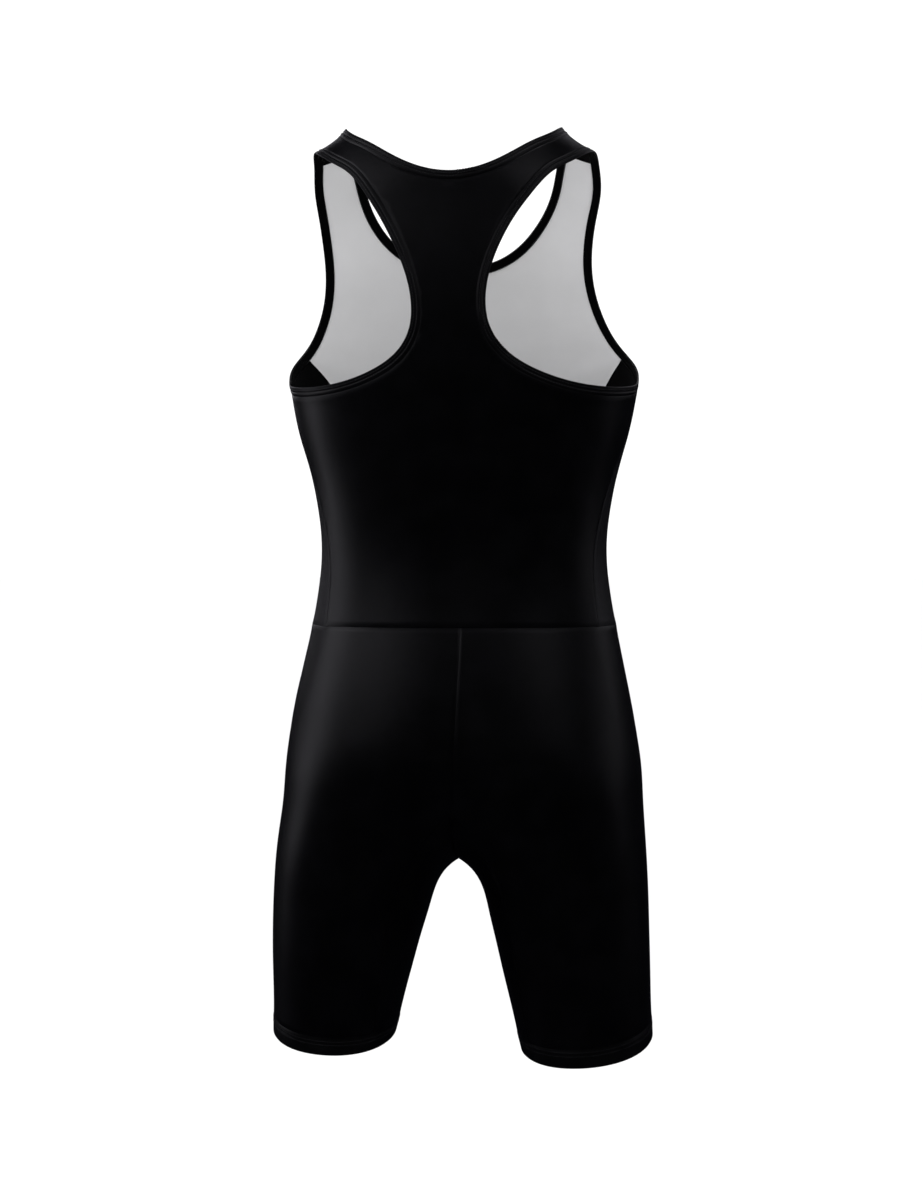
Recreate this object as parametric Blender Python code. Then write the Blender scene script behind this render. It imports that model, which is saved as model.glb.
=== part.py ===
"""A sleeveless running suit with a racer back and thigh-length legs, hollow, as filled out when worn.

Every piece of cloth is a wall on one smooth general figure. Seams and edges are curves on that
figure, a panel is the patch between its four seams, and a neck, armhole or leg edge is a band beside
its curve. The suit is worked out in millimetres with both sides alike, then moved into its stance.

The suit faces -Y and its left side is at +X. The origin lies in the centre plane, just above the
neck ends of the two shoulder straps, where the shoulders carry it.
"""

import math

import bmesh
import bpy
import numpy as np

MM = 0.001
MERGED = 0.000001

# Cloth
CLOTH = 1.2
EDGE_WIDTH = 9.5
EDGE_THICK = 2.2
HEM_WIDTH = 20.0
HEM_THICK = 2.0
TURNED_PROUD = 0.4
SEAM_GAP = 0.3

# Main levels, down from just above the neck ends of the straps
WAIST = -513.0
SEAT_JOIN = -700.0
FLY_JOIN = -690.0
CROTCH = -751.0
HEM = -944.5
HEM_DROP_BACK = 0.23
HEM_DROP_INNER = 0.077

# Segments along each stretch of seam
BACK_NECK, FRONT_NECK = 9, 12
RACER_ROWS = 7
BACK_ROWS = BACK_NECK + RACER_ROWS
STRAP, SCOOP = 3, 9
BACK_ARM = BACK_ROWS + SCOOP
UNDER_ARM, FRONT_ARM = 6, 13
SIDE_ROWS = 10
HALF_BACK, HALF_FRONT = STRAP + SCOOP, 8
SEAT_ROWS, LEG_ROWS = 8, 10
INNER_COLUMNS = 9
CURVE_STEPS = 16
ARC_STEPS = 40
CENTRE = 0.0
ALL, NONE = slice(None), slice(0, 0)

# The figure's trunk: one row for each level
TRUNK = (
    # level, half width, front, back, widest at, squareness
    (60.0, 200.0, -92.0, 78.0, -4.0, 2.3),
    (-60.0, 200.0, -98.0, 84.0, -4.0, 2.3),
    (-130.0, 200.0, -110.0, 98.0, -6.0, 2.35),
    (-200.0, 194.0, -121.0, 106.0, -8.0, 2.4),
    (-262.0, 181.5, -123.0, 104.0, -8.0, 2.4),
    (-309.0, 173.0, -118.0, 97.0, -9.0, 2.35),
    (-372.0, 156.5, -109.0, 86.0, -10.0, 2.3),
    (-434.0, 149.0, -101.0, 78.0, -10.0, 2.3),
    (-496.0, 156.0, -99.0, 86.0, -8.0, 2.3),
    (-542.0, 165.5, -101.0, 101.0, -4.0, 2.3),
    (-589.0, 173.0, -103.0, 114.0, 0.0, 2.25),
    (-635.0, 174.0, -104.0, 121.0, 2.0, 2.2),
    (-682.0, 175.0, -103.0, 121.0, 2.0, 2.2),
    (-760.0, 176.0, -97.0, 104.0, 2.0, 2.2),
)
SHOULDER_LEVEL = -11.0
SHOULDER_RISE = 34.0
SHOULDER_OUT = 112.0
SHOULDER_FALL = 1.35
SHOULDER_DEPTH = 85.0
STRAPS_FROM = -60.0
STRAPS_FADE = 60.0
BOWL_TOP = -640.0
BOWL_DEPTH = 103.0

# The figure's left leg: one row for each level
LEG = (
    # level, inner side, outer side, front, back
    (-520.0, 15.0, 95.0, -40.0, 40.0),
    (-600.0, 0.0, 145.0, -70.0, 75.0),
    (-640.0, -10.0, 160.0, -82.0, 95.0),
    (-682.0, -10.0, 176.0, -90.0, 104.0),
    (-729.0, -1.0, 191.0, -95.0, 100.0),
    (-760.0, 19.0, 195.0, -96.0, 91.0),
    (-776.0, 25.0, 195.8, -95.5, 86.0),
    (-807.0, 31.0, 196.8, -95.0, 78.0),
    (-838.0, 40.0, 197.0, -95.5, 71.0),
    (-869.0, 48.0, 196.8, -96.5, 64.0),
    (-900.0, 56.5, 196.0, -98.0, 56.0),
    (-931.0, 64.0, 196.5, -99.5, 48.0),
    (-985.0, 75.0, 197.5, -101.0, 36.0),
)
LEG_SQUARENESS = 2.1
CROTCH_BLEND = 14.0
HIP_BLEND = 55.0

# Shallow hollows of the cloth between its fuller parts: in the middle of the back and front
HOLLOWS = (
    # level, height, half width, depth, side
    (-390.0, 90.0, 26.0, 3.5, 1.0),
    (-665.0, 62.0, 26.0, 6.5, 1.0),
    (-235.0, 60.0, 34.0, 4.5, -1.0),
)

# Neck edge, from the front centre over the shoulder to the back centre; a row on top is put on the
# shoulder's ridge, whatever its level
NECK = (
    # side, out from the centre plane, level
    ("front", 0.0, -137.0),
    ("front", 25.0, -134.5),
    ("front", 45.0, -128.0),
    ("front", 62.0, -117.5),
    ("front", 74.0, -106.0),
    ("front", 85.0, -91.0),
    ("front", 94.0, -74.0),
    ("front", 99.5, -56.0),
    ("front", 103.5, -36.0),
    ("front", 108.0, -20.0),
    ("top", 112.0, -11.0),
    ("back", 104.0, -10.5),
    ("back", 90.0, -16.0),
    ("back", 76.0, -25.0),
    ("back", 61.0, -34.5),
    ("back", 46.0, -43.0),
    ("back", 23.0, -51.5),
    ("back", 0.0, -54.5),
)
NECK_SHOULDER = 9

# Armhole edge, from the shoulder seam over the ridge, down the back, under the arm and up the front
ARMHOLE = (
    # side, out from the centre plane or degrees round from the side, level
    ("front", 149.0, -37.0),
    ("top", 146.5, -27.0),
    ("back", 137.0, -31.5),
    ("back", 121.0, -42.5),
    ("back", 102.0, -53.0),
    ("back", 86.5, -73.0),
    ("back", 71.5, -94.0),
    ("back", 59.5, -115.0),
    ("back", 50.0, -135.0),
    ("back", 42.5, -155.0),
    ("back", 37.5, -178.0),
    ("back", 37.0, -198.0),
    ("back", 41.0, -217.0),
    ("back", 52.0, -234.0),
    ("back", 69.0, -247.0),
    ("back", 92.0, -258.0),
    ("back", 117.0, -266.0),
    ("round", 24.0, -270.5),
    ("round", 12.0, -268.5),
    ("round", 2.0, -265.0),
    ("round", -6.0, -253.0),
    ("round", -13.0, -242.0),
    ("round", -19.5, -230.0),
    ("front", 161.5, -217.0),
    ("front", 152.0, -196.0),
    ("front", 145.0, -172.0),
    ("front", 142.0, -150.0),
    ("front", 142.0, -130.0),
    ("front", 144.0, -108.0),
    ("front", 147.0, -87.0),
    ("front", 151.0, -66.0),
    ("front", 151.0, -52.0),
)
# Where the armhole's stretches end: level with the neck's low point, under the narrow back, at seams
ARMHOLE_STRETCHES = (
    # row of the table, segments
    (6, BACK_NECK),
    (12, RACER_ROWS),
    (19, SCOOP),
    (22, UNDER_ARM),
    (len(ARMHOLE), FRONT_ARM),
)

# The stretches of the two panels' centre lines down to the waist
UNDER_NARROW = -236.0
BACK_MIDDLE = ((UNDER_NARROW, RACER_ROWS), (WAIST, SIDE_ROWS))
FRONT_MIDDLE = ((WAIST, FRONT_ARM + SIDE_ROWS - FRONT_NECK),)

# Side panel's two seams below the armhole, in degrees round from the side
SIDE_BACK = ((-309.0, 5.0), (-341.0, 9.0), (-382.0, 13.5), (-446.0, 18.5), (WAIST, 21.2))
SIDE_FRONT = ((-262.0, -28.0), (-300.0, -33.0), (-340.0, -36.0), (-446.0, -40.0), (WAIST, -41.0))

# Inner-leg panel's two seams, from the crotch seam to the hem
INNER_BACK = (
    # out from the centre plane, level
    (22.0, -722.0),
    (42.0, -757.0),
    (54.0, -785.0),
    (62.0, -813.0),
    (68.5, -855.0),
    (74.5, -893.0),
    (79.5, -928.0),
)
INNER_FRONT = (
    (22.0, -716.0),
    (41.0, -755.0),
    (53.0, -785.0),
    (61.0, -813.0),
    (68.0, -855.0),
    (74.0, -893.0),
    (79.0, -928.0),
)

# Stance: the trunk's twist and lean
STANCE = (
    # level, degrees of twist, shift to the left
    (0.0, 0.7, 8.0),
    (-50.0, 0.9, 7.5),
    (-110.0, 1.0, 9.5),
    (-200.0, 0.5, 5.5),
    (-240.0, 0.2, 1.5),
    (-280.0, 0.0, -2.0),
    (-434.0, 1.0, -2.0),
    (-513.0, 2.0, -2.5),
    (-600.0, 0.5, -1.5),
    (-680.0, -2.0, -2.5),
    (-751.0, -4.0, 1.0),
    (-860.0, -4.5, 3.5),
    (-990.0, -4.5, 3.5),
)
LEG_STANCE = {
    # side: out, back, up, broader
    1: (6.0, -10.0, -0.8, 0.0),
    -1: (0.0, 10.0, -2.0, 0.07),
}

BLACK = (0.0035, 0.0035, 0.0040, 1.0)
PALE = (0.46, 0.46, 0.46, 1.0)
SATIN, MATT = 0.55, 0.8
SHARP = math.radians(50.0)

# How points are brought on to the figure
SLOPE_STEP = 0.5
FLATTEST = 0.05
FURTHEST = 12.0
REACH = 320.0
ROUNDS, HEM_ROUNDS, HALVINGS = 12, 30, 44
RIDGE = 0.02


def through(rows):
    """A smooth function through the rows: the first column against each of the others."""
    table = np.array(sorted(rows), float)
    knots, values = table[:, 0], table[:, 1:]
    widths = np.diff(knots)[:, None]
    steps = np.diff(values, axis=0) / widths
    slopes = np.zeros_like(values)
    before, after = steps[:-1], steps[1:]
    same_way = before * after > 0
    total = np.where(same_way, before + after, 1.0)
    slopes[1:-1] = np.where(same_way, 2.0 * before * after / total, 0.0)

    def at(level):
        level = np.clip(np.asarray(level, float), knots[0], knots[-1])
        i = np.clip(np.searchsorted(knots, level) - 1, 0, len(knots) - 2)
        t = ((level - knots[i]) / widths[i, 0])[..., None]
        rise = widths[i]
        value = (
            values[i] * (2.0 * t**3 - 3.0 * t**2 + 1.0)
            + slopes[i] * rise * (t**3 - 2.0 * t**2 + t)
            + values[i + 1] * (3.0 * t**2 - 2.0 * t**3)
            + slopes[i + 1] * rise * (t**3 - t**2)
        )
        return np.moveaxis(value, -1, 0)

    return at


TRUNK_AT = through(TRUNK)
LEG_AT = through(LEG)
STANCE_AT = through(STANCE)


def blended(a, b, width):
    """The smaller of two distances, rounded where they meet."""
    near = np.clip(width - np.abs(a - b), 0.0, None) / width
    return np.minimum(a, b) - near**2 * width / 4.0


def shoulder_top(x):
    fall = (np.abs(x) / SHOULDER_OUT) ** SHOULDER_FALL
    return SHOULDER_LEVEL + SHOULDER_RISE * (1.0 - fall)


def trunk(x, y, z):
    """Roughly the distance from the trunk's surface, below zero inside."""
    half, front, back, widest, square = TRUNK_AT(z)
    depth = np.where(y < widest, widest - front, back - widest)
    across = (np.abs(x) / half) ** square
    ring = (across + (np.abs(y - widest) / depth) ** square) ** (1.0 / square)
    bowl = np.clip((BOWL_TOP - z) / BOWL_DEPTH, 0.0, None)
    low = (np.hypot(ring, bowl) - 1.0) * np.minimum(half, depth)
    rise = np.clip((z - shoulder_top(x) + SHOULDER_DEPTH) / SHOULDER_DEPTH, 0.0, None)
    depth_here = depth * np.clip(1.0 - across, RIDGE, None) ** (1.0 / square)
    high = (np.hypot((y - widest) / depth_here, rise) - 1.0) * SHOULDER_DEPTH
    for level, height, wide, deep, side in HOLLOWS:
        dip = deep * np.exp(-((x / wide) ** 2) - ((z - level) / height) ** 2)
        low = low + np.where(side * (y - widest) > 0.0, dip, 0.0)
    return np.where(rise > 0.0, high, low)


def leg(x, y, z):
    """Roughly the distance from the left leg's surface, below zero inside."""
    inner, outer, front, back = LEG_AT(z)
    half, depth = (outer - inner) / 2.0, (back - front) / 2.0
    across = np.abs(x - (outer + inner) / 2.0) / half
    along = np.abs(y - (back + front) / 2.0) / depth
    ring = (across**LEG_SQUARENESS + along**LEG_SQUARENESS) ** (1.0 / LEG_SQUARENESS)
    return (ring - 1.0) * np.minimum(half, depth)


def figure(points):
    """Roughly the distance of each point from the figure, below zero inside."""
    x, y, z = np.moveaxis(np.asarray(points, float), -1, 0)
    legs = blended(leg(x, y, z), leg(-x, y, z), CROTCH_BLEND)
    return blended(trunk(x, y, z), legs, HIP_BLEND)


def slope(points):
    """The figure's slope at each point, which points straight out of it."""
    sides = []
    for axis in np.eye(3) * SLOPE_STEP:
        sides.append((figure(points + axis) - figure(points - axis)) / (2.0 * SLOPE_STEP))
    return np.stack(sides, -1)


def unit(vectors):
    return vectors / np.maximum(np.linalg.norm(vectors, axis=-1, keepdims=True), 1e-9)


def outward(points):
    return unit(slope(points))


def settled(points, rounds=ROUNDS, rising=1.0):
    """The points moved straight on to the figure, or more nearly level where rising is below 1."""
    points = np.array(points, float)
    for _ in range(rounds):
        steep = slope(points)
        way = steep.copy()
        over = np.clip(1.0 + (points[..., 2] - STRAPS_FROM) / STRAPS_FADE, rising, 1.0)
        way[..., 2] *= over
        size = np.maximum((way * steep).sum(-1, keepdims=True), FLATTEST)
        move = -figure(points)[..., None] * way / size
        points += np.clip(move, -FURTHEST, FURTHEST)
    return points


def out_along(start, direction):
    """The point of the figure on a straight line out of it."""
    low, high = 0.0, REACH
    for _ in range(HALVINGS):
        middle = (low + high) / 2.0
        if figure(start + direction * middle) < 0.0:
            low = middle
        else:
            high = middle
    return start + direction * low


def placed(side, out, level):
    """A point of the figure from one row of a table of edge or seam points."""
    if side == "top":
        ridge = float(TRUNK_AT(SHOULDER_LEVEL)[3])
        bottom = float(shoulder_top(out)) - SHOULDER_DEPTH
        return out_along(np.array([out, ridge, bottom]), np.array([0.0, 0.0, 1.0]))
    middle = float(TRUNK_AT(level)[3])
    if side == "round":
        turn = math.radians(out)
        return out_along(
            np.array([0.0, middle, level]), np.array([math.cos(turn), math.sin(turn), 0.0])
        )
    forward = -1.0 if side == "front" else 1.0
    if level < CROTCH:
        _, _, front, back = LEG_AT(level)
        middle = float(front + back) / 2.0
    return out_along(np.array([out, middle, level]), np.array([0.0, forward, 0.0]))


def flowing(knots, closed=False):
    """A smooth curve on the figure through the knots, CURVE_STEPS steps from each to the next."""
    knots = np.array(knots, float)
    if closed:
        before, after = np.roll(knots, 1, 0), np.roll(knots, -1, 0)
        ends = after
        ahead = np.roll(knots, -2, 0)
    else:
        before = np.vstack([2 * knots[0] - knots[1], knots[:-2]])
        knots, ends = knots[:-1], knots[1:]
        ahead = np.vstack([ends[1:], 2 * ends[-1] - ends[-2]])
    t = (np.arange(CURVE_STEPS) / CURVE_STEPS)[None, :, None]
    spans = [a[:, None, :] for a in (before, knots, ends, ahead)]
    gaps = [
        np.sqrt(np.linalg.norm(spans[i + 1] - spans[i], axis=-1, keepdims=True)) for i in range(3)
    ]
    leave = gaps[1] * (
        (spans[1] - spans[0]) / gaps[0]
        - (spans[2] - spans[0]) / (gaps[0] + gaps[1])
        + (spans[2] - spans[1]) / gaps[1]
    )
    arrive = gaps[1] * (
        (spans[2] - spans[1]) / gaps[1]
        - (spans[3] - spans[1]) / (gaps[1] + gaps[2])
        + (spans[3] - spans[2]) / gaps[2]
    )
    curve = (
        spans[1] * (2 * t**3 - 3 * t**2 + 1)
        + leave * (t**3 - 2 * t**2 + t)
        + spans[2] * (3 * t**2 - 2 * t**3)
        + arrive * (t**3 - t**2)
    ).reshape(-1, 3)
    if not closed:
        curve = np.vstack([curve, ends[-1]])
    return settled(curve)


def spaced(curve, count):
    """The curve as count equal steps."""
    lengths = np.r_[0.0, np.cumsum(np.linalg.norm(np.diff(curve, axis=0), axis=1))]
    wanted = np.linspace(0.0, lengths[-1], count + 1)
    steps = np.stack([np.interp(wanted, lengths, curve[:, i]) for i in range(3)], 1)
    steps[1:-1] = settled(steps[1:-1])
    return steps


def along_of(curve, closed):
    if closed:
        return unit(np.roll(curve, -1, 0) - np.roll(curve, 1, 0))
    return unit(np.gradient(curve, axis=0))


def beside(ring, distance):
    """A closed curve moved sideways over the figure, to the left of its own way."""
    across = unit(np.cross(outward(ring), along_of(ring, True)))
    return settled(ring + across * distance)


def mirrored(points):
    return points * np.array([-1.0, 1.0, 1.0])


def patch(first, last, top, bottom, across=True, rising=0.15):
    """The sheet between four curves on the figure, as rows of points from first to last.

    It is drawn straight across from first to last, or else straight down from top to bottom, laid on
    the figure nearly level, and then eased over to the other two curves.
    """
    down = np.linspace(0.0, 1.0, len(first))[:, None, None]
    over = np.linspace(0.0, 1.0, len(top))[None, :, None]
    if across:
        grid = settled(first[:, None] * (1 - over) + last[:, None] * over, rising=rising)
        grid = grid + (top - grid[0])[None] * (1 - down) ** 2 + (bottom - grid[-1])[None] * down**2
    else:
        grid = settled(top[None] * (1 - down) + bottom[None] * down, rising=rising)
        left, right = (first - grid[:, 0])[:, None], (last - grid[:, -1])[:, None]
        grid = grid + left * (1 - over) ** 2 + right * over**2
    grid[1:-1, 1:-1] = settled(grid[1:-1, 1:-1], rising=rising)
    return grid


def moved_in(edge, inside, distance):
    """An edge of a sheet drawn in, square to itself."""
    along = along_of(edge, False)
    way = inside - edge
    way = way - (way * along).sum(-1, keepdims=True) * along
    return unit(way) * distance


def drawn_in(grid, top=ALL, bottom=ALL, first=ALL, last=ALL):
    """The sheet drawn back from its seams by half the gap between pieces, along a stretch of each."""
    half = SEAM_GAP / 2.0
    new = grid.copy()
    for row, inside, stretch in ((0, 1, top), (-1, -2, bottom)):
        new[row, stretch] += moved_in(grid[row], grid[inside], half)[stretch]
    for column, inside, stretch in ((0, 1, first), (-1, -2, last)):
        new[stretch, column] += moved_in(grid[:, column], grid[:, inside], half)[stretch]
    return new


def stance(points, side):
    """Points of the even suit moved into the stance; side is 1 on the left and -1 on the right."""
    x, y, z = np.moveaxis(points, -1, 0)
    depth = np.clip((CROTCH - z) / (CROTCH - HEM), 0.0, 1.3)
    share = depth**2 * (2.2 - 1.2 * np.minimum(depth, 1.0))
    inner, outer, _, _ = LEG_AT(z)
    middle = side * (inner + outer) / 2.0
    out, back, up, broader = LEG_STANCE[side]
    new_x = x + (side * out + (x - middle) * broader) * share
    new_y = y + back * share
    new_z = z + up * share
    twist, shift = STANCE_AT(z)
    turn = np.radians(twist)
    turned_x = new_x * np.cos(turn) - new_y * np.sin(turn) + shift
    turned_y = new_x * np.sin(turn) + new_y * np.cos(turn)
    return np.stack([turned_x, turned_y, new_z], -1)


def wall_mesh(name, sheets, thick, proud, closed):
    """A closed wall: sheets of points on the figure, which meet where they share points, and the
    same sheets extruded straight in."""
    mesh = bmesh.new()
    inside = mesh.verts.layers.float_vector.new("inside")
    for grid, side in sheets:
        out = outward(grid)
        faces = []
        for depth in (proud, proud - thick):
            points = grid + out * depth
            if side < 0:
                points = mirrored(points)
            faces.append(stance(points, side) * MM)
        corners = []
        for outer_row, inner_row in zip(*faces):
            row = [mesh.verts.new(point) for point in outer_row]
            for corner, inner in zip(row, inner_row):
                corner[inside] = inner
            corners.append(row + row[:1] if closed else row)
        for upper, lower in zip(corners, corners[1:]):
            for i in range(len(upper) - 1):
                mesh.faces.new((upper[i], lower[i], lower[i + 1], upper[i + 1]))
    bmesh.ops.remove_doubles(mesh, verts=mesh.verts, dist=MERGED)
    extruded = bmesh.ops.extrude_face_region(mesh, geom=mesh.faces[:], use_keep_orig=True)
    for item in extruded["geom"]:
        if isinstance(item, bmesh.types.BMVert):
            item.co = item[inside]
        elif isinstance(item, bmesh.types.BMFace):
            item.material_index = 1
    mesh.verts.layers.float_vector.remove(inside)
    bmesh.ops.recalc_face_normals(mesh, faces=mesh.faces)
    data = bpy.data.meshes.new(name)
    mesh.to_mesh(data)
    mesh.free()
    return data


def knit(name, colour, roughness):
    material = bpy.data.materials.new(name)
    material.use_nodes = True
    shader = material.node_tree.nodes["Principled BSDF"]
    shader.inputs["Base Color"].default_value = colour
    shader.inputs["Roughness"].default_value = roughness
    shader.inputs["Metallic"].default_value = 0.0
    material.diffuse_color = colour
    return material


def cloth_piece(name, sheets, thick=CLOTH, proud=0.0, closed=False, reverse=BLACK):
    """A piece of cloth, with its right side on the figure and its reverse inside."""
    data = wall_mesh(name, sheets, thick, proud, closed)
    piece = bpy.data.objects.new(name, data)
    bpy.data.collections["running_suit"].objects.link(piece)
    data.materials.append(knit(name + "_knit", BLACK, SATIN))
    data.materials.append(knit(name + "_reverse", reverse, MATT))
    data.shade_smooth()
    data.set_sharp_from_angle(angle=SHARP)
    return piece


def edge_curves():
    """The neck edge's half and the whole armhole edge, each split at its seams."""
    half = [placed(*row) for row in NECK]
    whole = half + [mirrored(p) for p in half[-2:0:-1]]
    neck = flowing(whole, closed=True)
    start = NECK_SHOULDER * CURVE_STEPS
    end = (len(NECK) - 1) * CURVE_STEPS
    front = spaced(neck[: start + 1], FRONT_NECK)
    back = spaced(neck[start : end + 1], BACK_NECK)
    left_half = np.vstack([front, back[1:]])
    neck_ring = np.vstack([left_half, mirrored(left_half[-2:0:-1])])

    loop = flowing([placed(*row) for row in ARMHOLE], closed=True)
    loop = np.vstack([loop, loop[:1]])
    stretches, begin = [], 0
    for row, count in ARMHOLE_STRETCHES:
        finish = row * CURVE_STEPS
        stretches.append(spaced(loop[begin : finish + 1], count)[:-1])
        begin = finish
    return neck_ring, np.vstack(stretches)


def hem_level(points, above):
    """The level of a ring that runs parallel to the hem, above it."""
    _, _, front, back = LEG_AT(points[..., 2])
    inner, outer = LEG_AT(points[..., 2])[:2]
    behind = points[..., 1] - (front + back) / 2.0
    inward = (inner + outer) / 2.0 - points[..., 0]
    return HEM + above - HEM_DROP_BACK * behind - HEM_DROP_INNER * inward


def to_hem(points, above):
    """Points of a leg moved down or up on to a ring parallel to the hem."""
    points = np.array(points, float)
    for _ in range(HEM_ROUNDS):
        points[..., 2] = hem_level(points, above)
        points = settled(points, 2)
    points[..., 2] = hem_level(points, above)
    return points


def leg_round(turn, above):
    """The point of the left leg's hem ring at an angle round from its outer side."""
    inner, outer, front, back = LEG_AT(HEM)
    middle = np.array([(inner + outer) / 2.0, (front + back) / 2.0, HEM])
    start = out_along(middle, np.array([math.cos(turn), math.sin(turn), 0.0]))
    return to_hem(start, above)


def turn_of(point):
    inner, outer, front, back = LEG_AT(point[2])
    return math.atan2(point[1] - (front + back) / 2.0, point[0] - (inner + outer) / 2.0)


def centre_line(side, top, stretches):
    """The figure's centre line on the front or back, in equal steps along each stretch of it."""
    line = [placed(side, CENTRE, top)[None]]
    for bottom, count in stretches:
        levels = np.linspace(top, bottom, ARC_STEPS)
        steps = spaced(np.array([placed(side, CENTRE, level) for level in levels]), count)
        line.append(steps[1:])
        top = bottom
    line = np.vstack(line)
    line[:, 0] = CENTRE
    return line


def round_waist(begin, finish, count):
    """A stretch of the waist seam, between two angles round from the side."""
    turns = np.linspace(begin, finish, ARC_STEPS)
    return spaced(np.array([placed("round", turn, WAIST) for turn in turns]), count)


def side_seam(start, rows, count):
    return spaced(flowing([start] + [placed("round", turn, level) for level, turn in rows]), count)


def crotch_seam(back_end, front_end, count):
    """The inner-leg panels' shared seam, in the centre plane from back to front."""
    middle = np.array([CENTRE, 0.0, BOWL_TOP])
    ends = [math.atan2(end[2] - middle[2], end[1] - middle[1]) for end in (back_end, front_end)]
    turns = np.linspace(ends[0], ends[1] - 2.0 * math.pi * (ends[1] > 0.0), ARC_STEPS)
    ways = [np.array([0.0, math.cos(turn), math.sin(turn)]) for turn in turns]
    steps = spaced(np.array([out_along(middle, way) for way in ways]), count)
    steps[:, 0] = CENTRE
    return steps


def hem_stretch(begin, finish, count):
    """A stretch of the seam at the hem's upper side, between two angles round the leg."""
    turns = np.linspace(begin, finish, ARC_STEPS)
    return spaced(np.array([leg_round(turn, HEM_WIDTH) for turn in turns]), count)


def seams():
    """Every seam and edge of the left half, on the figure."""
    found = {}
    neck_edge, arm_edge = edge_curves()
    found["neck_edge"], found["arm_edge"] = neck_edge, arm_edge
    neck = beside(neck_edge, -EDGE_WIDTH)
    neck[[0, FRONT_NECK + BACK_NECK], 0] = CENTRE
    arm = beside(arm_edge, EDGE_WIDTH)
    found["neck"], found["arm"] = neck, arm
    back_neck = neck[FRONT_NECK : FRONT_NECK + BACK_NECK + 1]
    front_neck = neck[FRONT_NECK::-1]
    back_arm = arm[: BACK_ARM + 1]
    under_arm = arm[BACK_ARM : BACK_ARM + UNDER_ARM + 1]
    front_arm = np.vstack([arm[:1], arm[: BACK_ARM + UNDER_ARM - 1 : -1]])

    found["side_back"] = side_seam(under_arm[0], SIDE_BACK, SIDE_ROWS)
    found["side_front"] = side_seam(under_arm[-1], SIDE_FRONT, SIDE_ROWS)
    found["under_arm"] = under_arm
    turns = (90.0, SIDE_BACK[-1][1], SIDE_FRONT[-1][1], -90.0)
    waist = [
        round_waist(turns[0], turns[1], HALF_BACK),
        round_waist(turns[1], turns[2], UNDER_ARM),
        round_waist(turns[2], turns[3], HALF_FRONT),
    ]
    waist[0][0, 0] = CENTRE
    waist[2][-1, 0] = CENTRE
    found["waist"] = waist

    below_back = centre_line("back", back_neck[-1][2], BACK_MIDDLE)
    below_front = centre_line("front", front_neck[-1][2], FRONT_MIDDLE)
    found["back_middle"] = np.vstack([back_neck, below_back[1:]])
    found["front_middle"] = np.vstack([front_neck, below_front[1:]])
    found["back_outer"] = np.vstack([back_arm, found["side_back"][1:]])
    found["front_outer"] = np.vstack([front_arm, found["side_front"][1:]])

    seat = centre_line("back", WAIST, [(SEAT_JOIN, SEAT_ROWS)])
    fly = centre_line("front", WAIST, [(FLY_JOIN, SEAT_ROWS)])
    inner = []
    for side, start, rows in (("back", seat[-1], INNER_BACK), ("front", fly[-1], INNER_FRONT)):
        knots = [start] + [placed(side, out, level) for out, level in rows]
        knots[-1] = to_hem(knots[-1], HEM_WIDTH)
        inner.append(spaced(flowing(knots), LEG_ROWS))
        inner[-1][-1] = knots[-1]
    found["seat"], found["fly"] = seat, fly
    found["inner_back"], found["inner_front"] = inner
    found["crotch"] = crotch_seam(seat[-1], fly[-1], INNER_COLUMNS)
    begin, finish = turn_of(inner[0][-1]), turn_of(inner[1][-1])
    outer_hem = hem_stretch(begin, finish, HALF_BACK + UNDER_ARM + HALF_FRONT)
    inner_hem = hem_stretch(begin, finish + 2.0 * math.pi, INNER_COLUMNS)
    for stretch in (outer_hem, inner_hem):
        stretch[0], stretch[-1] = inner[0][-1], inner[1][-1]
    found["outer_hem"], found["inner_hem"] = outer_hem, inner_hem
    return found


def halves(sheets):
    """Both halves of a panel, from the left half's sheets."""
    return [(sheet, side) for side in (1, -1) for sheet in sheets]


def below_neck(sheet, half, row):
    """The sheet's first side, put in the centre plane from the row at the neck seam down."""
    low = half[row : row + 2, 0]
    sheet[row, 0] = low[0] + unit(low[1] - low[0]) * (SEAM_GAP / 2.0)
    sheet[row:, 0, 0] = CENTRE
    return sheet


def band(edge, seam):
    """A ring of cloth from an edge to its seam, in three rows."""
    middle = settled((edge + seam) / 2.0)
    closed_seam = np.vstack([seam, seam[:1]])
    closed_middle = np.vstack([middle, middle[:1]])
    drawn = seam + moved_in(closed_seam, closed_middle, SEAM_GAP / 2.0)[:-1]
    return np.stack([edge, middle, drawn])


def back_sheets(found, shoulder, waist):
    """The back panel's upper sheet, between neck and armhole, and its lower one, down to the waist."""
    middle, outer = found["back_middle"], found["back_outer"]
    narrow = np.linspace(middle[BACK_ROWS], outer[BACK_ROWS], STRAP + 1)
    narrow[1:-1] = settled(narrow[1:-1])
    strap = patch(middle[: BACK_ROWS + 1], outer[: BACK_ROWS + 1], shoulder, narrow)
    upper = drawn_in(strap, bottom=NONE, first=slice(0, BACK_NECK))
    upper = below_neck(upper, strap, BACK_NECK)
    top = np.vstack([narrow, outer[BACK_ROWS + 1 : BACK_ARM + 1]])
    body = patch(middle[BACK_ROWS:], outer[BACK_ARM:], top, waist, across=False)
    lower = drawn_in(body, top=slice(STRAP + 1, None), first=NONE)
    lower[0, : STRAP + 1] = upper[-1]
    lower[:, 0, 0] = CENTRE
    return halves([upper, lower])


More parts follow.
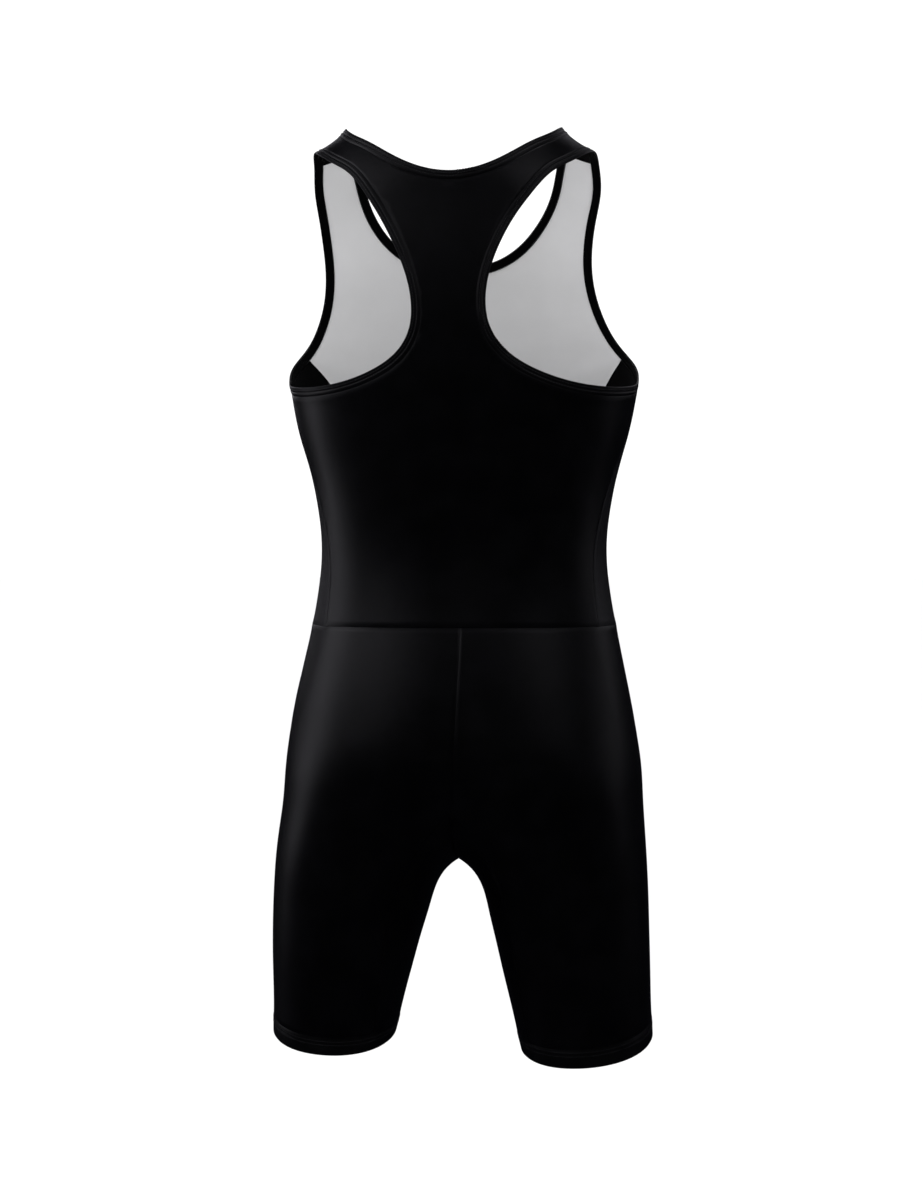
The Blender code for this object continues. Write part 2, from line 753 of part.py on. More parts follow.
def torso(found):
    """The sheets of the back panel, the front panel and the left side panel."""
    strap = np.linspace(found["back_middle"][0], found["back_outer"][0], ARC_STEPS)
    strap = settled(strap)
    waist_back, waist_side, waist_front = found["waist"]
    back = back_sheets(found, spaced(strap, STRAP), waist_back)
    shoulder, waist_front = spaced(strap, HALF_FRONT), waist_front[::-1]
    chest = patch(found["front_middle"], found["front_outer"], shoulder, waist_front)
    front = below_neck(drawn_in(chest, first=slice(0, FRONT_NECK)), chest, FRONT_NECK)
    side = patch(found["side_back"], found["side_front"], found["under_arm"], waist_side)
    return back, halves([front]), drawn_in(side)


def shorts(found):
    """The sheets of the left shorts leg, its inner-leg panel and its hem."""
    waist = np.vstack([found["waist"][0], found["waist"][1][1:], found["waist"][2][1:]])
    first = np.vstack([found["seat"], found["inner_back"][1:]])
    last = np.vstack([found["fly"], found["inner_front"][1:]])
    outer = drawn_in(patch(first, last, waist, found["outer_hem"], across=False))
    first, last = found["inner_back"], found["inner_front"]
    inner = patch(first, last, found["crotch"], found["inner_hem"], across=False, rising=1.0)
    ring = np.vstack([found["outer_hem"][:-1], found["inner_hem"][:0:-1]])
    return outer, drawn_in(inner), band(to_hem(ring, 0.0), ring)


def main():
    for old in list(bpy.data.objects):
        bpy.data.objects.remove(old, do_unlink=True)
    suit = bpy.data.collections.new("running_suit")
    bpy.context.scene.collection.children.link(suit)
    found = seams()
    back, front, side_sheet = torso(found)
    leg_sheet, inner_sheet, hem_band = shorts(found)
    arm_band = band(found["arm_edge"], found["arm"])
    neck_band = band(found["neck_edge"], found["neck"])
    cloth_piece("back_panel", back)
    cloth_piece("front_panel", front, reverse=PALE)
    cloth_piece("neck_edge", [(neck_band, 1)], EDGE_THICK, TURNED_PROUD, closed=True)
    for side, word in ((1, "left"), (-1, "right")):
        cloth_piece("side_panel_" + word, [(side_sheet, side)])
        cloth_piece("shorts_leg_" + word, [(leg_sheet, side)])
        cloth_piece("inner_leg_" + word, [(inner_sheet, side)])
        cloth_piece(
            "armhole_edge_" + word, [(arm_band, side)], EDGE_THICK, TURNED_PROUD, closed=True
        )
        cloth_piece("leg_hem_" + word, [(hem_band, side)], HEM_THICK, TURNED_PROUD, closed=True)


main()
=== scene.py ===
"""The looks of a sleeveless racer-back running suit in black satin knit, filled out as when worn.

Each cloth piece of the frame is copied and keeps its right side alone. That sheet is made fine and
smooth, pressed into a few faint creases, sewn down along its seams, and given the cloth's thickness
inwards. The turned neck, armhole and leg edges get their rows of coverstitching. Ribs of fine
knitting run down every piece; the side panels are a little greyer, partly from their open knit and
partly as painted sheen, and the front panel's reverse is pale. All sizes are in metres unless a
name or a comment says mm. The back faces along +Y, +X is the wearer's left, and level 0 is the top
of the straps.
"""

import math

import bmesh
import bpy
from mathutils import Matrix, Vector
from mathutils.bvhtree import BVHTree
from mathutils.kdtree import KDTree


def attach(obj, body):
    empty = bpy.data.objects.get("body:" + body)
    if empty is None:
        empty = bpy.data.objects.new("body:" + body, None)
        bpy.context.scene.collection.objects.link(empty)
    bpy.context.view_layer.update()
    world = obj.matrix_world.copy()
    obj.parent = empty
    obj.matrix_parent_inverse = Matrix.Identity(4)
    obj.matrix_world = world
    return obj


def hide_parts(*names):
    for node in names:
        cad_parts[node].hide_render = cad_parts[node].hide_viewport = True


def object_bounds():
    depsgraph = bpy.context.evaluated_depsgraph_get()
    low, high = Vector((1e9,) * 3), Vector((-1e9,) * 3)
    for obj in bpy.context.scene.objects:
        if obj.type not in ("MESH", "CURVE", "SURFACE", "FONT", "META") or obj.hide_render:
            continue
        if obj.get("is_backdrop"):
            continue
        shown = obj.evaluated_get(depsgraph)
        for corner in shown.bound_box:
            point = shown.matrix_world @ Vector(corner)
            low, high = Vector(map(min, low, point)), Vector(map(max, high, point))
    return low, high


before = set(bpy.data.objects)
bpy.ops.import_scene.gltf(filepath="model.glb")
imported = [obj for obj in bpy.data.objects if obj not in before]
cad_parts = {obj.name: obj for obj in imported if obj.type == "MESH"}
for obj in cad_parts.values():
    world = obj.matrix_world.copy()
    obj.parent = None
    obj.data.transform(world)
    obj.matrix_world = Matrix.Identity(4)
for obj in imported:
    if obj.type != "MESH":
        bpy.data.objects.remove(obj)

bpy.context.view_layer.update()
CAD_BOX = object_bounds()

MM = 0.001

# Reading a node's wall: corners nearer than this are one, a sharper bend than this is its rim, and
# two triangles make a quad up to this bend and this skew
MERGED = 0.000001
RIM_ANGLE = math.radians(50.0)
QUAD_BEND = math.radians(60.0)
QUAD_SKEW = math.radians(75.0)

# Making a sheet fine: its subdivisions, its rounds of smoothing and their strength, the bend of its
# border that stays a corner, and the bend up to which it is shaded smooth
PANEL_LEVELS = 2
PANEL_ROUNDS = 10
EDGE_LEVELS = 3
EDGE_ROUNDS = 4
SMOOTHING = 0.5
CORNER_ANGLE = math.radians(24.0)
SHADE_ANGLE = math.radians(40.0)

# Thickness of the single cloth, the turned edges and the hems
CLOTH = 1.2 * MM
EDGE_THICK = 2.2 * MM
HEM_THICK = 2.0 * MM

# Seams: the strip that bends down, its way out to the neighbour, how deep it goes, how far a turned
# edge stands above the panel beside it, and how sharply a corner of the border may reach out
SEAM_BORDER = 0.5 * MM
HALF_GAP = 0.4 * MM
SEAM_DIP = 0.55 * MM
EDGE_PROUD = 0.4 * MM
LEAST_MITRE = 0.5

# A turned edge's fold: the radius of its round, and the easing of its sharpest bends
FOLD_RADIUS = 0.9 * MM
EASE_REACH = 9.0 * MM
EASE_ROUNDS = 8

# Coverstitch rows, up from the fold, the furrow that each of them draws, and their single stitches
EDGE_ROWS = (5.0 * MM, 8.8 * MM)
HEM_ROWS = (15.6 * MM, 19.2 * MM)
ROW_DIP = 0.5 * MM
ROW_WIDTH = 0.7 * MM
STITCH_PITCH = 3.0 * MM
STITCH_LONG = 2.5 * MM
STITCH_WIDE = 0.6 * MM
STITCH_HIGH = 0.45 * MM
STITCH_SIDES = 6
STITCH_RINGS = 5

BODICE = ("back_panel", "front_panel")
PANELS = (
    # node, widest and longest as worn in mm, what it is sewn to
    ("back_panel", 400.0, 570.0, ("front_panel",)),
    ("front_panel", 376.0, 540.0, ("back_panel",)),
    ("side_panel_left", 171.0, 295.0, BODICE),
    ("side_panel_right", 171.0, 295.0, BODICE),
    ("shorts_leg_left", 502.0, 468.0, BODICE + ("side_panel_left",)),
    ("shorts_leg_right", 502.0, 468.0, BODICE + ("side_panel_right",)),
    ("inner_leg_left", 240.0, 271.0, ("shorts_leg_left",)),
    ("inner_leg_right", 240.0, 271.0, ("shorts_leg_right",)),
)
EDGES = (
    # node, thickness, stitch rows, width with its fold and length as worn in mm, what it is sewn to
    ("neck_edge", EDGE_THICK, EDGE_ROWS, 11.0, 844.0, BODICE),
    ("armhole_edge_left", EDGE_THICK, EDGE_ROWS, 11.0, 837.0, BODICE + ("side_panel_left",)),
    ("armhole_edge_right", EDGE_THICK, EDGE_ROWS, 11.0, 837.0, BODICE + ("side_panel_right",)),
    ("leg_hem_left", HEM_THICK, HEM_ROWS, 22.0, 438.0, ("shorts_leg_left", "inner_leg_left")),
    ("leg_hem_right", HEM_THICK, HEM_ROWS, 22.0, 438.0, ("shorts_leg_right", "inner_leg_right")),
)

# The knit's ribs run down each piece: the upright line that it curves round, and the way it faces
RIBS = {
    # node: out to the left in mm, degrees round from the left side towards the back
    "back_panel": (0.0, 90.0), "front_panel": (0.0, -90.0), "neck_edge": (0.0, 45.0),
    "side_panel_left": (0.0, 0.0), "side_panel_right": (0.0, 180.0),
    "armhole_edge_left": (0.0, 0.0), "armhole_edge_right": (0.0, 180.0),
    "shorts_leg_left": (85.0, 0.0), "shorts_leg_right": (-85.0, 180.0),
    "inner_leg_left": (105.0, 180.0), "inner_leg_right": (-105.0, 0.0),
    "leg_hem_left": (125.0, 45.0), "leg_hem_right": (-125.0, 135.0),
}

# Relief of the knit: a rib's width, a course's height, its depth, and the loops' share in it
RIB = 0.6 * MM
COURSE = 0.5 * MM
KNIT_RELIEF = 0.2 * MM
LOOP_SHARE = 0.25

# Unevenness of the yarn's colour: its noise, and the part of the noise that goes from dark to light
UNEVEN = {"Scale": 34.0, "Detail": 3.0, "Roughness": 0.5}
UNEVEN_FROM = 0.35
UNEVEN_TO = 0.7
SHEEN_ROUGHNESS = 0.45

# Faint creases of the filled-out suit: soft troughs between two points, seen square from the back
# (side 1) or from the front (side -1), on the cloth that faces that way by at least this share
FACING = 0.1
CREASES = (
    # node, side, from out and level, to out and level, half width and depth, all in mm
    ("front_panel", -1, (-166.0, -236.0), (-112.0, -250.0), 7.0, 0.9),
    ("front_panel", -1, (-150.0, -250.0), (-104.0, -262.0), 6.0, 0.6),
    ("front_panel", -1, (-120.0, -188.0), (-74.0, -192.0), 7.0, 0.4),
    ("front_panel", -1, (-134.0, -40.0), (-126.0, -72.0), 6.0, 0.6),
    ("front_panel", -1, (128.0, -140.0), (124.0, -196.0), 8.0, 0.5),
    ("front_panel", -1, (158.0, -240.0), (118.0, -251.0), 7.0, 0.7),
    ("front_panel", -1, (30.0, -470.0), (84.0, -455.0), 9.0, 0.5),
    ("back_panel", 1, (150.0, -282.0), (104.0, -300.0), 8.0, 0.4),
    ("back_panel", 1, (-152.0, -280.0), (-112.0, -304.0), 8.0, 0.4),
    ("back_panel", 1, (-96.0, -452.0), (-52.0, -462.0), 10.0, 0.4),
    ("shorts_leg_left", 1, (40.0, -752.0), (92.0, -728.0), 8.0, 0.5),
    ("shorts_leg_right", 1, (-42.0, -748.0), (-84.0, -730.0), 8.0, 0.5),
    ("shorts_leg_left", -1, (38.0, -742.0), (96.0, -706.0), 9.0, 0.9),
    ("shorts_leg_left", -1, (48.0, -764.0), (88.0, -748.0), 7.0, 0.6),
    ("shorts_leg_right", -1, (-38.0, -740.0), (-90.0, -712.0), 9.0, 0.8),
)

# The camera turns about the suit, from the square back view towards the wearer's right
EYE_TURN = math.radians(4.5)
EYE_FAR = 3.1
EYE_LEVEL = -0.38
AIM = Vector((0.0, 0.0, -0.488))
FOCAL_PIXELS = 2995.0
FRAME_HEIGHT = 1200.0
SENSOR_MM = 36.0

# Floor, softboxes and the pale studio round them, which shows only dimly in the cloth's shine
FLOOR_LEVEL = -1.55
FLOOR_RADIUS = 40.0
FLOOR_SIDES = 96
LIGHTS = (
    # name, degrees round from the suit's back to its left, degrees up, side in metres, watts
    ("softbox_left_high", 88.0, 30.0, 1.3, 7.0),
    ("softbox_left_low", 97.0, -2.0, 0.8, 2.6),
    ("softbox_camera_left", 42.0, 38.0, 1.0, 2.5),
    ("softbox_high_right", -42.0, 48.0, 0.8, 1.8),
    ("softbox_right_low", -95.0, 8.0, 1.0, 0.8),
    ("softbox_overhead", 180.0, 80.0, 1.0, 3.2),
    ("softbox_right", -118.0, 26.0, 1.1, 1.3),
    ("softbox_front_left", 150.0, 20.0, 1.2, 3.2),
    ("softbox_front_right", -150.0, 30.0, 1.2, 1.9),
)
LIGHT_AIM = Vector((0.0, 0.0, -0.5))
LIGHT_FAR = 2.4
LIGHT_COLOUR = (0.98, 0.96, 1.04)
STUDIO = {"Color": (1.0, 1.0, 1.0, 1.0), "Strength": 1.15}
STUDIO_IN_SHINE = {"Color": (0.8, 0.78, 1.2, 1.0), "Strength": 0.006}


def linear(hex_colour):
    """An sRGB hex colour as linear red, green, blue and alpha."""
    parts = [int(hex_colour[i : i + 2], 16) / 255.0 for i in (1, 3, 5)]
    light = [c / 12.92 if c <= 0.04045 else ((c + 0.055) / 1.055) ** 2.4 for c in parts]
    return (*light, 1.0)


def add_node(tree, kind, settings=None, values=None, links=None):
    """A node with its settings, its input values and its links from other nodes' outputs."""
    node = tree.nodes.new(kind)
    for name, value in (settings or {}).items():
        setattr(node, name, value)
    for name, value in (values or {}).items():
        node.inputs[name].default_value = value
    for name, output in (links or {}).items():
        tree.links.new(output, node.inputs[name])
    return node


def arithmetic(tree, operation, *inputs):
    """A Math node's output; each input is a number or another node's output."""
    node = add_node(tree, "ShaderNodeMath", {"operation": operation})
    for i, value in enumerate(inputs):
        if isinstance(value, float):
            node.inputs[i].default_value = value
        else:
            tree.links.new(value, node.inputs[i])
    return node.outputs[0]


def knit_height(tree, place):
    """The height of fine knitting: ribs side by side, each a column of V-shaped loops."""
    rib = add_node(tree, "ShaderNodeAttribute", {"attribute_name": "rib"}).outputs["Fac"]
    level = add_node(tree, "ShaderNodeSeparateXYZ", links={"Vector": place}).outputs["Z"]
    ribs = arithmetic(tree, "DIVIDE", rib, RIB)
    courses = arithmetic(tree, "DIVIDE", level, COURSE)
    # A loop's leg goes from 0 in the furrow between two ribs to 0.5 in the middle of a rib
    leg = arithmetic(tree, "PINGPONG", ribs, 0.5)
    turn = arithmetic(tree, "MULTIPLY", arithmetic(tree, "ADD", courses, leg), 2.0 * math.pi)
    loop = arithmetic(tree, "SINE", turn)
    round_rib = arithmetic(tree, "SQRT", leg)
    return arithmetic(tree, "MULTIPLY_ADD", loop, LOOP_SHARE, round_rib)


def knit_material(name, dark, light, roughness, specular, sheen, grain):
    """A fine warp knit, with a soft unevenness of its yarn's colour."""
    material = bpy.data.materials.new(name)
    material.use_nodes = True
    tree = material.node_tree
    tree.nodes.clear()
    place = add_node(tree, "ShaderNodeTexCoord").outputs["Object"]
    uneven = add_node(tree, "ShaderNodeTexNoise", values=UNEVEN, links={"Vector": place})
    ramp = add_node(tree, "ShaderNodeValToRGB", links={"Fac": uneven.outputs["Fac"]})
    first, last = ramp.color_ramp.elements
    first.position = UNEVEN_FROM
    first.color = linear(dark)
    last.position = UNEVEN_TO
    last.color = linear(light)
    bump = add_node(
        tree, "ShaderNodeBump", values={"Strength": grain, "Distance": KNIT_RELIEF},
        links={"Height": knit_height(tree, place)},
    )
    shader = add_node(
        tree, "ShaderNodeBsdfPrincipled",
        values={
            "Roughness": roughness, "Specular IOR Level": specular, "Sheen Weight": sheen,
            "Sheen Roughness": SHEEN_ROUGHNESS,
        },
        links={"Base Color": ramp.outputs["Color"], "Normal": bump.outputs["Normal"]},
    )
    add_node(tree, "ShaderNodeOutputMaterial", links={"Surface": shader.outputs["BSDF"]})
    return material


# Polyester and elastane satin knit: near black, with a soft wide shine where it turns to the light
BLACK_KNIT = knit_material(
    "black_satin_knit", "#000003", "#010106", roughness=0.38, specular=0.5, sheen=0.0, grain=0.25
)
# The side panels' knit: the same yarn in an open gauge, so more matt, and a little greyer, partly
# from the open gauge and partly as a painted sheen for the light that falls on the suit's sides
SIDE_KNIT_PAINTED_SHEEN = knit_material(
    "black_side_knit_painted_sheen", "#0A0A0F", "#0E0E13", roughness=0.45, specular=0.5, sheen=0.0, grain=0.35
)
# The reverse of the black knits: brushed, without shine
BLACK_REVERSE = knit_material(
    "black_brushed_reverse", "#020204", "#030305", roughness=0.9, specular=0.1, sheen=0.0, grain=0.3
)
# The satin knit turned over and stitched: a little more matt
TURNED_KNIT = knit_material(
    "black_turned_knit", "#010104", "#030307", roughness=0.42, specular=0.45, sheen=0.0, grain=0.3
)
# The front panel's reverse: undyed pale grey, brushed and without shine
PALE_REVERSE = knit_material(
    "pale_grey_reverse", "#DADADB", "#DDDDDE", roughness=0.85, specular=0.2, sheen=0.1, grain=0.3
)
# Spun polyester thread, black: its colour is painted lighter, a painted sheen for the light it
# catches
THREAD_PAINTED_SHEEN = knit_material(
    "polyester_thread_painted_sheen", "#17171A", "#1E1E21", roughness=0.4, specular=0.5, sheen=0.0, grain=0.4
)


def only(piece):
    """Leaves this piece alone selected and active."""
    bpy.ops.object.select_all(action="DESELECT")
    piece.select_set(True)
    bpy.context.view_layer.objects.active = piece


def applied(piece, kind, **settings):
    """Adds a modifier with its settings and applies it."""
    only(piece)
    modifier = piece.modifiers.new(kind.lower(), kind)
    for name, value in settings.items():
        setattr(modifier, name, value)
    bpy.ops.object.modifier_apply(modifier=modifier.name)


def surface_area(piece):
    """The area of all of a piece's faces."""
    return sum(face.area for face in piece.data.polygons)


def right_side(node, name):
    """A sheet of quads: the right side of a cloth node's wall, which is its largest side."""
    piece = bpy.data.objects[node].copy()
    piece.data = piece.data.copy()
    piece.parent = None
    for key in list(piece.keys()):
        del piece[key]
    bpy.context.scene.collection.objects.link(piece)
    only(piece)
    bpy.ops.object.mode_set(mode="EDIT")
    bpy.ops.mesh.select_all(action="SELECT")
    bpy.ops.mesh.remove_doubles(threshold=MERGED)
    bpy.ops.mesh.select_all(action="DESELECT")
    bpy.ops.mesh.select_mode(type="EDGE")
    bpy.ops.mesh.edges_select_sharp(sharpness=RIM_ANGLE)
    bpy.ops.mesh.edge_split(type="EDGE")
    bpy.ops.mesh.select_all(action="SELECT")
    bpy.ops.mesh.separate(type="LOOSE")
    bpy.ops.object.mode_set(mode="OBJECT")
    parts = sorted(bpy.context.selected_objects, key=surface_area)
    piece = parts.pop()
    for part in parts:
        bpy.data.objects.remove(part)
    only(piece)
    piece.name = name
    piece.data.name = name
    piece.hide_render = False
    bpy.ops.object.mode_set(mode="EDIT")
    bpy.ops.mesh.select_all(action="SELECT")
    bpy.ops.mesh.remove_doubles(threshold=MERGED)
    bpy.ops.mesh.tris_convert_to_quads(face_threshold=QUAD_BEND, shape_threshold=QUAD_SKEW)
    bpy.ops.object.mode_set(mode="OBJECT")
    piece.data.materials.clear()
    return piece


def corners_held(piece):
    """Marks the corners of the sheet's border, so that it stays sharp there."""
    mesh = bmesh.new()
    mesh.from_mesh(piece.data)
    crease = mesh.verts.layers.float.new("crease_vert")
    for corner in mesh.verts:
        ways = [
            (e.other_vert(corner).co - corner.co).normalized()
            for e in corner.link_edges if e.is_boundary
        ]
        if len(ways) == 2 and ways[0].angle(-ways[1]) > CORNER_ANGLE:
            corner[crease] = 1.0
    mesh.to_mesh(piece.data)
    mesh.free()


def made_fine(piece, levels, rounds):
    """Makes the sheet fine and smooth, with its seams where they were."""
    corners_held(piece)
    applied(
        piece, "SUBSURF", levels=levels, render_levels=levels, boundary_smooth="PRESERVE_CORNERS"
    )
    applied(
        piece, "CORRECTIVE_SMOOTH", factor=SMOOTHING, iterations=rounds, use_only_smooth=True,
        use_pin_boundary=True,
    )


def ways_out(corner):
    """The sum of the two ways out of the sheet, square to the border edges at this corner."""
    ways = Vector()
    for edge in corner.link_edges:
        if edge.is_boundary:
            face = edge.link_faces[0]
            along = (edge.other_vert(corner).co - corner.co).normalized()
            side = along.cross(face.normal)
            if side.dot(face.calc_center_median() - corner.co) > 0.0:
                side.negate()
            ways += side.normalized()
    return ways


def sewn_down(piece):
    """Draws the sheet's border up to its neighbours and down into the seams."""
    only(piece)
    bpy.ops.object.mode_set(mode="EDIT")
    bpy.ops.mesh.select_all(action="SELECT")
    bpy.ops.mesh.inset(
        thickness=SEAM_BORDER, depth=0.0, use_boundary=True, use_even_offset=False
    )
    bpy.ops.object.mode_set(mode="OBJECT")
    mesh = bmesh.new()
    mesh.from_mesh(piece.data)
    mesh.normal_update()
    moves = []
    for corner in mesh.verts:
        if corner.is_boundary:
            ways = ways_out(corner)
            out = ways.normalized() * HALF_GAP / max(LEAST_MITRE, ways.length / 2.0)
            moves.append((corner, out - corner.normal * SEAM_DIP))
    for corner, move in moves:
        corner.co += move
    mesh.to_mesh(piece.data)
    mesh.free()


def thickened(piece, thick, right, reverse):
    """Gives the sheet its thickness inwards, and its two sides their finish."""
    piece.data.materials.append(right)
    piece.data.materials.append(reverse)
    applied(
        piece, "SOLIDIFY", thickness=thick, offset=-1.0, material_offset=1,
        material_offset_rim=0,
    )
    only(piece)
    bpy.ops.object.shade_smooth_by_angle(angle=SHADE_ANGLE)


def kept(piece, *nodes, slot):
    """The finished piece rides on the suit and stands for its nodes."""
    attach(piece, "root")
    if nodes:
        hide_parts(*nodes)


def declared(piece, across, down, sewn_to):
    """Makes the cloth names of the pieces that this one is sewn to, and keeps nothing of them."""
    [node + "_cloth" for node in sewn_to]


def creased(piece, node):
    """Presses the node's faint creases into the fine sheet."""
    mesh = bmesh.new()
    mesh.from_mesh(piece.data)
    mesh.normal_update()
    for own, side, start, end, wide, deep in CREASES:
        if own != node:
            continue
        start, end = Vector(start) * MM, Vector(end) * MM
        along = end - start
        for corner in mesh.verts:
            if corner.is_boundary or corner.normal.y * side < FACING:
                continue
            place = Vector((corner.co.x, corner.co.z))
            share = min(1.0, max(0.0, (place - start).dot(along) / along.length_squared))
            far = (place - start - along * share).length / (wide * MM)
            corner.co -= corner.normal * deep * MM * math.exp(-(far**2))
    mesh.to_mesh(piece.data)
    mesh.free()


def ribbed(piece, node):
    """Gives each corner its distance round the piece, which sets the knit's ribs."""
    out, facing = RIBS[node]
    middle = Vector((out * MM, 0.0))
    turn = Matrix.Rotation(-math.radians(facing), 2)
    flat = [turn @ (corner.co.xy - middle) for corner in piece.data.vertices]
    radius = sum(place.length for place in flat) / len(flat)
    ribs = piece.data.attributes.new("rib", "FLOAT", "POINT")
    for i, place in enumerate(flat):
        ribs.data[i].value = radius * math.atan2(place.y, place.x)


def finder(places):
    """A tree that finds the nearest of these places."""
    tree = KDTree(len(places))
    for i, place in enumerate(places):
        tree.insert(place, i)
    tree.balance()
    return tree


def boundary_loops(mesh):
    """The sheet's boundary loops, each as its corners in order."""
    left = {corner for corner in mesh.verts if corner.is_boundary}
    loops = []
    while left:
        corner = min(left, key=lambda c: c.index)
        loop = []
        while corner is not None:
            loop.append(corner)
            left.discard(corner)
            nexts = [
                e.other_vert(corner) for e in corner.link_edges
                if e.is_boundary and e.other_vert(corner) in left
            ]
            corner = min(nexts, key=lambda c: c.index) if nexts else None
        loops.append(loop)
    return loops


def eased(mesh, fold):
    """Rounds off the turned fold's sharpest bends, and takes the cloth beside it along."""
    before = [corner.co.copy() for corner in fold]
    line = finder(before)
    after = before
    for _ in range(EASE_ROUNDS):
        after = [
            (after[i - 1] + after[i] * 2.0 + after[(i + 1) % len(after)]) / 4.0
            for i in range(len(after))
        ]
    for corner in mesh.verts:
        _, i, far = line.find(corner.co)
        corner.co += (after[i] - before[i]) * max(0.0, 1.0 - far / EASE_REACH)


def stitched_down(mesh, seam, fold_line, rows):
    """Presses the stitch rows in, rounds the fold and draws the other border into its seam."""
    line = finder(fold_line)
    seam_corners = set(seam)
    moves = []
    for corner in mesh.verts:
        if corner in seam_corners:
            inner = [e.other_vert(corner) for e in corner.link_edges if not e.is_boundary]
            out = (corner.co - inner[0].co).normalized() * HALF_GAP if inner else Vector()
            moves.append((corner, out - corner.normal * (EDGE_PROUD + SEAM_DIP)))
            continue
        far = line.find(corner.co)[2]
        deep = sum(ROW_DIP * math.exp(-(((far - row) / ROW_WIDTH) ** 2)) for row in rows)
        if far < FOLD_RADIUS:
            deep += FOLD_RADIUS - math.sqrt(FOLD_RADIUS**2 - (FOLD_RADIUS - far) ** 2)
        moves.append((corner, -corner.normal * deep))
    for corner, move in moves:
        corner.co += move
    mesh.normal_update()


def turned_edge(node, thick, rows, panels):
    """A turned and stitched edge, its fold's line and its stitched surface."""
    piece = right_side(node, node + "_cloth")
    made_fine(piece, EDGE_LEVELS, EDGE_ROUNDS)
    mesh = bmesh.new()
    mesh.from_mesh(piece.data)
    mesh.verts.index_update()
    mesh.normal_update()
    loops = boundary_loops(mesh)
    loops.sort(key=lambda loop: sum(panels.find(c.co)[2] for c in loop) / len(loop))
    seam, fold = loops[0], loops[-1]
    eased(mesh, fold)
    fold_line = [corner.co.copy() for corner in fold]
    stitched_down(mesh, seam, fold_line, rows)
    surface = BVHTree.FromBMesh(mesh)
    mesh.to_mesh(piece.data)
    mesh.free()
    thickened(piece, thick, TURNED_KNIT, BLACK_REVERSE)
    ribbed(piece, node)
    kept(piece, node, slot="turned_edge")
    return piece, fold_line, surface


def row_points(fold_line, surface, above):
    """A stitch row's points: on the cloth, parallel to the fold and this far above it."""
    count = len(fold_line)
    points = []
    for i, place in enumerate(fold_line):
        along = (fold_line[(i + 1) % count] - fold_line[i - 1]).normalized()
        normal = surface.find_nearest(place)[1]
        side = along.cross(normal).normalized()
        tries = [surface.find_nearest(place + side * above * way) for way in (1.0, -1.0)]
        points.append(min(tries, key=lambda found: found[3])[0])
    return points


def spaced(points):
    """The places of the stitches evenly round a row, each with the way that it lies."""
    count = len(points)
    lengths = [(points[(i + 1) % count] - points[i]).length for i in range(count)]
    whole = sum(lengths)
    stitches = round(whole / STITCH_PITCH)
    span, passed = 0, 0.0
    for number in range(stitches):
        wanted = whole * number / stitches
        while passed + lengths[span] < wanted:
            passed += lengths[span]
            span += 1
        share = (wanted - passed) / lengths[span]
        start, end = points[span], points[(span + 1) % count]
        yield start.lerp(end, share), (end - start).normalized()


def one_stitch():
    """One stitch: a short plump length of thread lying along X, as its corners and faces."""
    bpy.ops.object.select_all(action="DESELECT")
    bpy.ops.mesh.primitive_uv_sphere_add(
        segments=STITCH_SIDES, ring_count=STITCH_RINGS, radius=0.5,
        rotation=(0.0, math.pi / 2.0, 0.0),
    )
    model = bpy.context.active_object
    bpy.ops.object.transform_apply(rotation=True)
    sizes = (STITCH_LONG, STITCH_WIDE, STITCH_HIGH)
    corners = [Vector(a * b for a, b in zip(c.co, sizes)) for c in model.data.vertices]
    faces = [list(face.vertices) for face in model.data.polygons]
    bpy.data.objects.remove(model)
    return corners, faces


def stitch_row(name, stitch, points, surface):
    """One row of coverstitching along these points, as one piece of thread."""
    stitch_corners, stitch_faces = stitch
    corners, faces = [], []
    for middle, along in spaced(points):
        place, normal, _, _ = surface.find_nearest(middle)
        across = normal.cross(along).normalized()
        up = along.cross(across)
        turn = Matrix((along, across, up)).transposed()
        first = len(corners)
        corners += [place + turn @ corner for corner in stitch_corners]
        faces += [[first + i for i in face] for face in stitch_faces]
    mesh = bpy.data.meshes.new(name)
    mesh.from_pydata(corners, [], faces)
    # The thread's colour is lighter than black: a painted sheen
    mesh.materials.append(THREAD_PAINTED_SHEEN)
    mesh.shade_smooth()
    row = bpy.data.objects.new(name, mesh)
    bpy.context.scene.collection.objects.link(row)
    kept(row, slot="thread")
    return row


for node, across, down, sewn_to in PANELS:
    cloth = right_side(node, node + "_cloth")
    made_fine(cloth, PANEL_LEVELS, PANEL_ROUNDS)
    creased(cloth, node)
    sewn_down(cloth)
    # The side panels' greyer colour is partly painted sheen
    right = SIDE_KNIT_PAINTED_SHEEN if node.startswith("side_panel") else BLACK_KNIT
    reverse = PALE_REVERSE if node == "front_panel" else BLACK_REVERSE
    thickened(cloth, CLOTH, right, reverse)
    ribbed(cloth, node)
    kept(cloth, node, slot="black_knit")
    declared(cloth, across, down, sewn_to)

# The border of a turned edge that lies nearer to the panels is its seam, and the other is its fold
panels = finder([c.co.copy() for node, *_ in PANELS for c in bpy.data.objects[node].data.vertices])
stitch = one_stitch()
for node, thick, rows, width, length, sewn_to in EDGES:
    edge, fold_line, surface = turned_edge(node, thick, rows, panels)
    stitches = [
        stitch_row(
            f"{node}_stitches_{number}", stitch, row_points(fold_line, surface, above), surface
        )
        for number, above in enumerate(rows, 1)
    ]
    # An edge runs round the suit, so its length goes in where a panel's width across goes
    declared(edge, length, width, sewn_to)

bpy.ops.object.select_all(action="DESELECT")
bpy.ops.mesh.primitive_circle_add(
    vertices=FLOOR_SIDES, radius=FLOOR_RADIUS, fill_type="NGON", location=(0.0, 0.0, FLOOR_LEVEL)
)
floor = bpy.context.active_object
floor.name = "studio_floor"
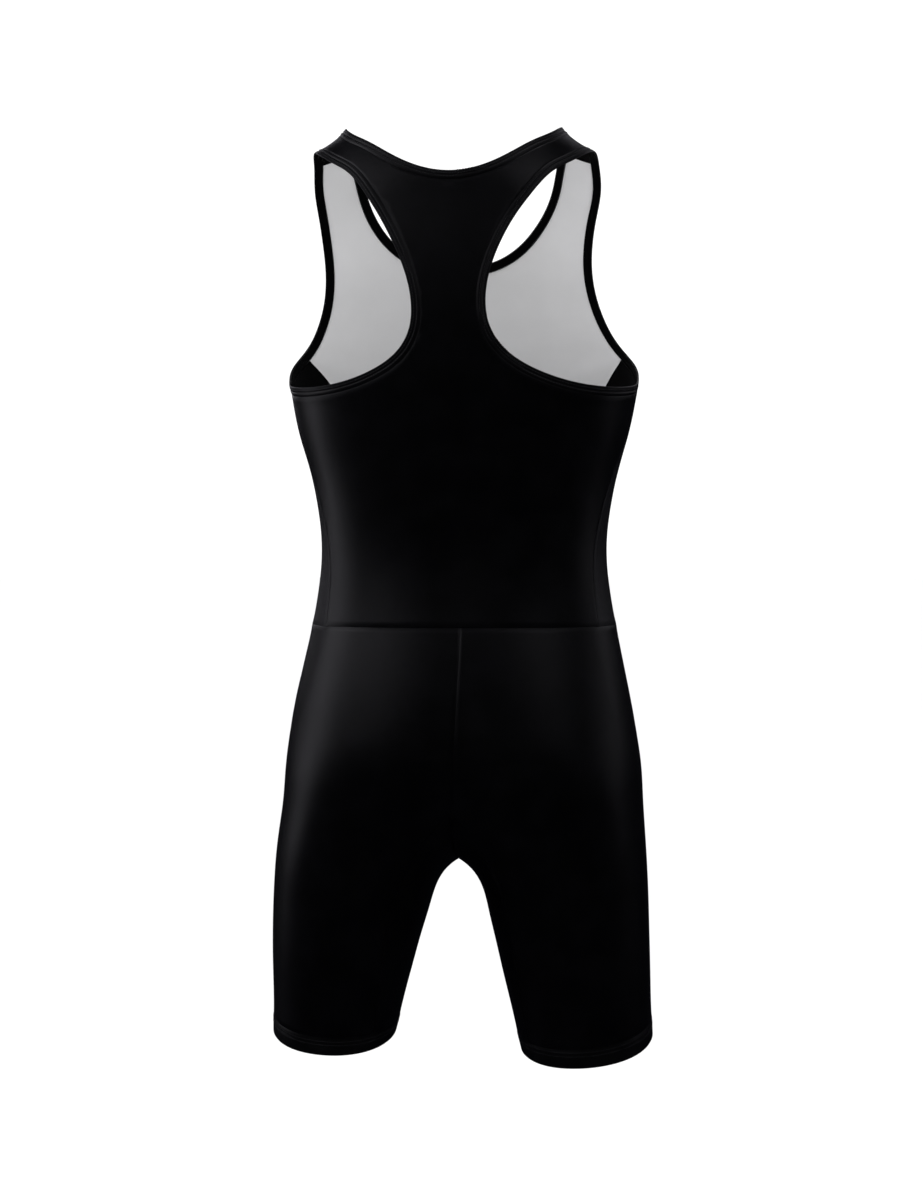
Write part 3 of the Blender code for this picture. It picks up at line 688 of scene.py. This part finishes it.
# The floor's finish: matt white paint
matt = bpy.data.materials.new("matt_white_paint")
matt.use_nodes = True
paint = matt.node_tree.nodes["Principled BSDF"]
paint.inputs["Base Color"].default_value = linear("#F6F6F6")
paint.inputs["Roughness"].default_value = 0.9
paint.inputs["Specular IOR Level"].default_value = 0.1
floor.data.materials.append(matt)
floor.visible_glossy = False
floor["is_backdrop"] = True

for name, degrees_round, degrees_up, side, watts in LIGHTS:
    turn, rise = math.radians(degrees_round), math.radians(degrees_up)
    level = math.cos(rise)
    way = Vector((math.sin(turn) * level, math.cos(turn) * level, math.sin(rise)))
    softbox = bpy.data.lights.new(name, "AREA")
    softbox.shape = "SQUARE"
    softbox.size = side
    softbox.energy = watts
    softbox.color = LIGHT_COLOUR
    lamp = bpy.data.objects.new(name, softbox)
    bpy.context.scene.collection.objects.link(lamp)
    lamp.location = LIGHT_AIM + way * LIGHT_FAR
    lamp.rotation_euler = (-way).to_track_quat("-Z", "Y").to_euler()

world = bpy.data.worlds.new("pale_studio")
bpy.context.scene.world = world
world.use_nodes = True
tree = world.node_tree
tree.nodes.clear()
path = add_node(tree, "ShaderNodeLightPath")
pale = add_node(tree, "ShaderNodeBackground", values=STUDIO)
dim = add_node(tree, "ShaderNodeBackground", values=STUDIO_IN_SHINE)
mixed = add_node(
    tree, "ShaderNodeMixShader",
    links={0: path.outputs["Is Glossy Ray"], 1: pale.outputs[0], 2: dim.outputs[0]},
)
add_node(tree, "ShaderNodeOutputWorld", links={"Surface": mixed.outputs[0]})

eye = bpy.data.cameras.new("camera")
eye.sensor_width = SENSOR_MM
eye.lens = SENSOR_MM * FOCAL_PIXELS / FRAME_HEIGHT
camera = bpy.data.objects.new("camera", eye)
bpy.context.scene.collection.objects.link(camera)
camera.location = (-EYE_FAR * math.sin(EYE_TURN), EYE_FAR * math.cos(EYE_TURN), EYE_LEVEL)
camera.rotation_euler = (AIM - camera.location).to_track_quat("-Z", "Y").to_euler()
bpy.context.scene.camera = camera
bpy.context.scene.view_settings.view_transform = "Standard"

bpy.context.view_layer.update()
boxes = {"cad": CAD_BOX, "visual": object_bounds()}
{name: [list(corner) for corner in box] for name, box in boxes.items()}
